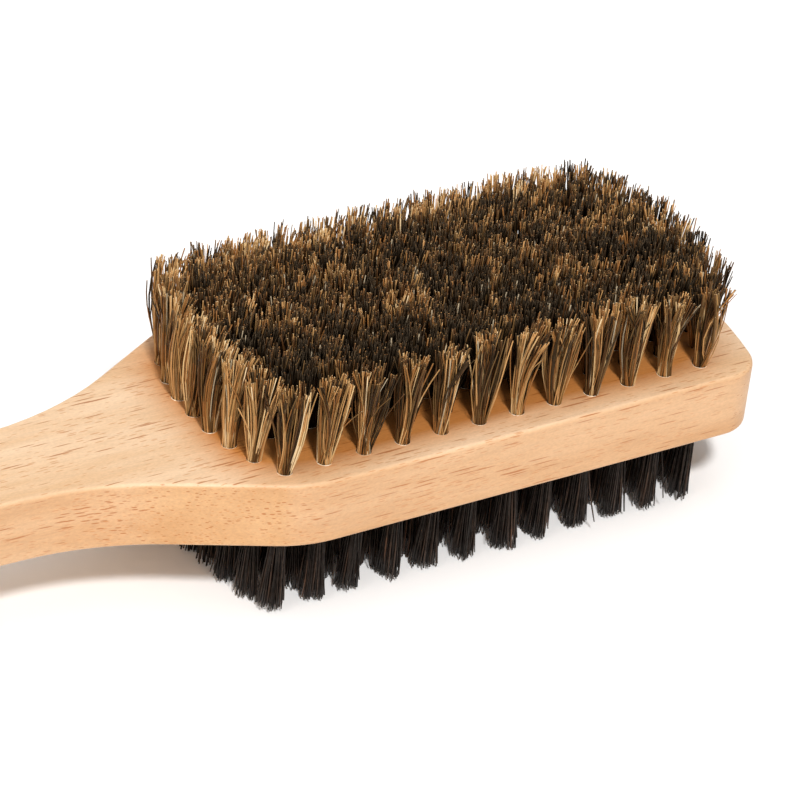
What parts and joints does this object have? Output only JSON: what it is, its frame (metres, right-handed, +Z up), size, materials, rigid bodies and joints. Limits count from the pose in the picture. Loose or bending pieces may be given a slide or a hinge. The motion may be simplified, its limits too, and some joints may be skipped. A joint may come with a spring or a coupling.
{
  "type": "body dry brush",
  "caption": "Two-sided wooden body dry brush with a short handle, natural bristles on one face and black bristles on the other.",
  "frame": {"origin": "under the middle of the brush, in the plane of the lower bristles' tips", "axes": "+X from the handle to the head, +Z up from the black bristles to the natural bristles"},
  "size_m": [0.252, 0.071, 0.0586],
  "materials": {
    "wood": "sanded, clear satin oil",
    "natural_bristle": "satin",
    "black_bristle": "glossy",
    "anchor_wire": "drawn"
  },
  "bodies": {
    "root": {"wooden_body": "wood", "top_tuft_row_1": "natural_bristle", "top_tuft_row_2": "natural_bristle", "top_tuft_row_3": "natural_bristle", "top_tuft_row_4": "natural_bristle", "top_tuft_row_5": "natural_bristle", "top_tuft_row_6": "natural_bristle", "top_tuft_row_7": "natural_bristle", "top_tuft_row_8": "natural_bristle", "top_tuft_row_9": "natural_bristle", "bottom_tuft_row_1": "black_bristle", "bottom_tuft_row_2": "black_bristle", "bottom_tuft_row_3": "black_bristle", "bottom_tuft_row_4": "black_bristle", "bottom_tuft_row_5": "black_bristle", "bottom_tuft_row_6": "black_bristle", "bottom_tuft_row_7": "black_bristle", "bottom_tuft_row_8": "black_bristle", "bottom_tuft_row_9": "black_bristle", "top_anchors_row_1": "anchor_wire", "top_anchors_row_2": "anchor_wire", "top_anchors_row_3": "anchor_wire", "top_anchors_row_4": "anchor_wire", "top_anchors_row_5": "anchor_wire", "top_anchors_row_6": "anchor_wire", "top_anchors_row_7": "anchor_wire", "top_anchors_row_8": "anchor_wire", "top_anchors_row_9": "anchor_wire", "bottom_anchors_row_1": "anchor_wire", "bottom_anchors_row_2": "anchor_wire", "bottom_anchors_row_3": "anchor_wire", "bottom_anchors_row_4": "anchor_wire", "bottom_anchors_row_5": "anchor_wire", "bottom_anchors_row_6": "anchor_wire", "bottom_anchors_row_7": "anchor_wire", "bottom_anchors_row_8": "anchor_wire", "bottom_anchors_row_9": "anchor_wire"}
  },
  "joints": []
}
